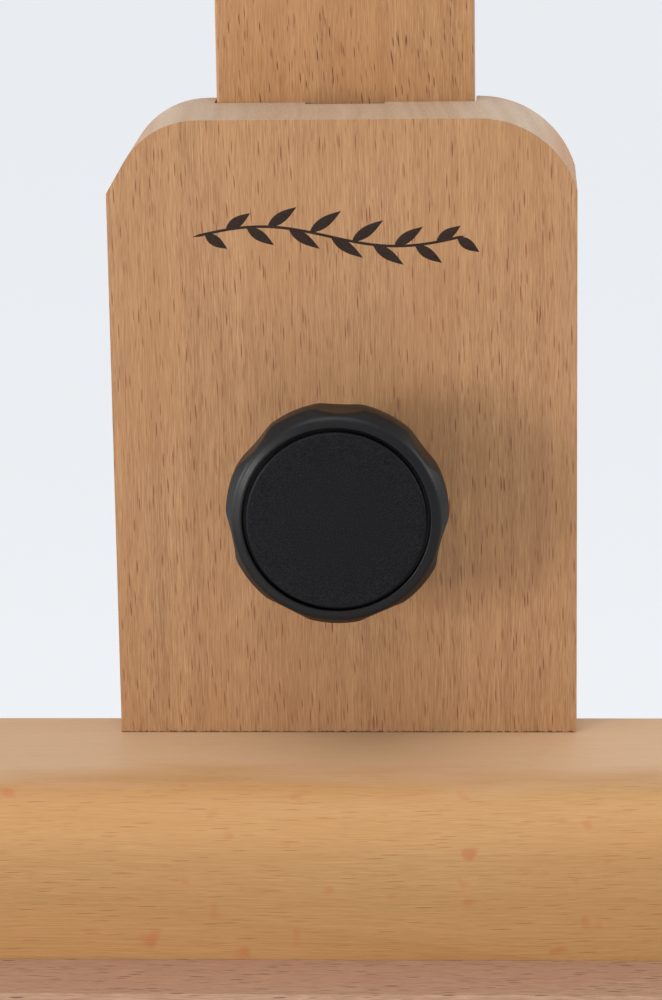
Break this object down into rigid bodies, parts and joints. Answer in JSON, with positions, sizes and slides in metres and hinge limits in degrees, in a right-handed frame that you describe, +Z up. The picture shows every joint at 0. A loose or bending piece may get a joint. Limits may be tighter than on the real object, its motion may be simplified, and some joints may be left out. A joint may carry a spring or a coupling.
{
  "type": "h frame easel",
  "caption": "Free-standing beech studio easel with an H-shaped tilting frame, sliding mast, canvas clamp with hand knob, and canvas ledge.",
  "frame": {"origin": "on the floor under the middle of the base", "axes": "+Z up, +X to the painter's right, the painter stands on the -Y side"},
  "size_m": [0.567, 0.62, 1.9],
  "materials": {
    "oiled_beech": "oiled, satin",
    "mast_beech": "oiled, satin",
    "pale_beech": "oiled, satin",
    "shoe_plastic": "moulded nylon",
    "black_plastic": "fine textured moulding",
    "zinc_steel": "zinc plated",
    "brass": "satin",
    "rubber": "matt"
  },
  "bodies": {
    "base": {"left_foot": "oiled_beech", "right_foot": "oiled_beech", "base_front_rail": "oiled_beech", "base_rear_rail": "oiled_beech", "foot_pads": "rubber", "base_bolts": "zinc_steel", "pivot_bolts": "zinc_steel", "pivot_washers": "zinc_steel", "pivot_nuts": "zinc_steel"},
    "frame": {"left_upright": "oiled_beech", "right_upright": "oiled_beech", "lower_rail": "oiled_beech", "middle_rail": "oiled_beech", "upper_rail": "oiled_beech", "rail_bolts": "zinc_steel", "mast_lock_insert": "brass", "tilt_studs": "zinc_steel"},
    "mast": {"mast": "mast_beech"},
    "top_clamp": {"clamp_block": "oiled_beech", "left_clamp_cheek": "oiled_beech", "right_clamp_cheek": "oiled_beech", "clamp_rear_plate": "oiled_beech", "clamp_rear_bolts": "zinc_steel", "clamp_bar": "pale_beech", "clamp_lip": "pale_beech", "clamp_screws": "brass", "clamp_insert": "brass"},
    "tray": {"tray_shelf": "oiled_beech", "tray_lip": "pale_beech", "tray_back_board": "oiled_beech", "left_tray_cheek": "oiled_beech", "right_tray_cheek": "oiled_beech", "tray_rear_bar": "oiled_beech", "tray_bolts": "zinc_steel", "tray_inserts": "brass", "tray_screws": "brass"},
    "left_stay": {"left_stay": "oiled_beech", "left_stay_plate": "zinc_steel", "left_stay_screws": "zinc_steel"},
    "right_stay": {"right_stay": "oiled_beech", "right_stay_plate": "zinc_steel", "right_stay_screws": "zinc_steel"},
    "left_tilt_knob": {"left_tilt_knob": "black_plastic"},
    "right_tilt_knob": {"right_tilt_knob": "black_plastic"},
    "top_clamp_shoe": {"top_clamp_shoe": "shoe_plastic"},
    "top_clamp_knob": {"top_clamp_knob": "black_plastic", "top_clamp_cap": "black_plastic", "top_clamp_stud": "zinc_steel"},
    "mast_lock_shoe": {"mast_lock_shoe": "shoe_plastic"},
    "mast_lock_knob": {"mast_lock_knob": "black_plastic", "mast_lock_cap": "black_plastic", "mast_lock_stud": "zinc_steel"},
    "left_tray_shoe": {"left_tray_shoe": "shoe_plastic"},
    "left_tray_knob": {"left_tray_knob": "black_plastic", "left_tray_cap": "black_plastic", "left_tray_stud": "zinc_steel"},
    "right_tray_shoe": {"right_tray_shoe": "shoe_plastic"},
    "right_tray_knob": {"right_tray_knob": "black_plastic", "right_tray_cap": "black_plastic", "right_tray_stud": "zinc_steel"}
  },
  "joints": [
    {"name": "frame_tilt", "type": "hinge", "parent": "base", "child": "frame", "pos_m": [0, -0.11, 0.058], "axis": [-1, 0, 0], "range_deg": [0, 10]},
    {"name": "mast_slide", "type": "slide", "parent": "frame", "child": "mast", "axis": [0, 0, 1], "range_m": [-0.15, 0.3]},
    {"name": "clamp_slide", "type": "slide", "parent": "mast", "child": "top_clamp", "axis": [0, 0, 1], "range_m": [-0.11, 0.06]},
    {"name": "tray_slide", "type": "slide", "parent": "frame", "child": "tray", "axis": [0, 0, 1], "range_m": [-0.3, 0.36]},
    {"name": "left_stay_swing", "type": "hinge", "parent": "base", "child": "left_stay", "pos_m": [-0.2033, 0.245, 0.058], "axis": [-1, 0, 0], "range_deg": [0, 9.5]},
    {"name": "right_stay_swing", "type": "hinge", "parent": "base", "child": "right_stay", "pos_m": [0.2033, 0.245, 0.058], "axis": [-1, 0, 0], "range_deg": [0, 9.5]},
    {"name": "left_tilt_knob_turn", "type": "hinge", "parent": "frame", "child": "left_tilt_knob", "pos_m": [-0.22, -0.11, 1.18], "axis": [-1, 0, 0], "range_deg": [0, 540]},
    {"name": "right_tilt_knob_turn", "type": "hinge", "parent": "frame", "child": "right_tilt_knob", "pos_m": [0.22, -0.11, 1.18], "axis": [1, 0, 0], "range_deg": [0, 540]},
    {"name": "top_clamp_shoe_travel", "type": "slide", "parent": "top_clamp", "child": "top_clamp_shoe", "axis": [0, -1, 0], "range_m": [0, 0.00187]},
    {"name": "top_clamp_knob_turn", "type": "hinge", "parent": "top_clamp_shoe", "child": "top_clamp_knob", "pos_m": [-0.0006, -0.1518, 1.7416], "axis": [0, -1, 0], "range_deg": [0, 541]},
    {"name": "mast_lock_shoe_travel", "type": "slide", "parent": "frame", "child": "mast_lock_shoe", "axis": [0, 1, 0], "range_m": [0, 0.00187]},
    {"name": "mast_lock_knob_turn", "type": "hinge", "parent": "mast_lock_shoe", "child": "mast_lock_knob", "pos_m": [0, -0.082, 1.285], "axis": [0, 1, 0], "range_deg": [0, 541]},
    {"name": "left_tray_shoe_travel", "type": "slide", "parent": "tray", "child": "left_tray_shoe", "axis": [-1, 0, 0], "range_m": [0, 0.00187]},
    {"name": "left_tray_knob_turn", "type": "hinge", "parent": "left_tray_shoe", "child": "left_tray_knob", "pos_m": [-0.2495, -0.11, 0.495], "axis": [-1, 0, 0], "range_deg": [0, 541]},
    {"name": "right_tray_shoe_travel", "type": "slide", "parent": "tray", "child": "right_tray_shoe", "axis": [1, 0, 0], "range_m": [0, 0.00187]},
    {"name": "right_tray_knob_turn", "type": "hinge", "parent": "right_tray_shoe", "child": "right_tray_knob", "pos_m": [0.2495, -0.11, 0.495], "axis": [1, 0, 0], "range_deg": [0, 541]}
  ],
  "couplings": [
    {"joint": "left_stay_swing", "follows": "frame_tilt", "ratio": 0.925},
    {"joint": "right_stay_swing", "follows": "frame_tilt", "ratio": 0.925},
    {"joint": "top_clamp_knob_turn", "follows": "top_clamp_shoe_travel", "rad_per_m": 5026.5},
    {"joint": "mast_lock_knob_turn", "follows": "mast_lock_shoe_travel", "rad_per_m": 5026.5},
    {"joint": "left_tray_knob_turn", "follows": "left_tray_shoe_travel", "rad_per_m": 5026.5},
    {"joint": "right_tray_knob_turn", "follows": "right_tray_shoe_travel", "rad_per_m": 5026.5}
  ]
}
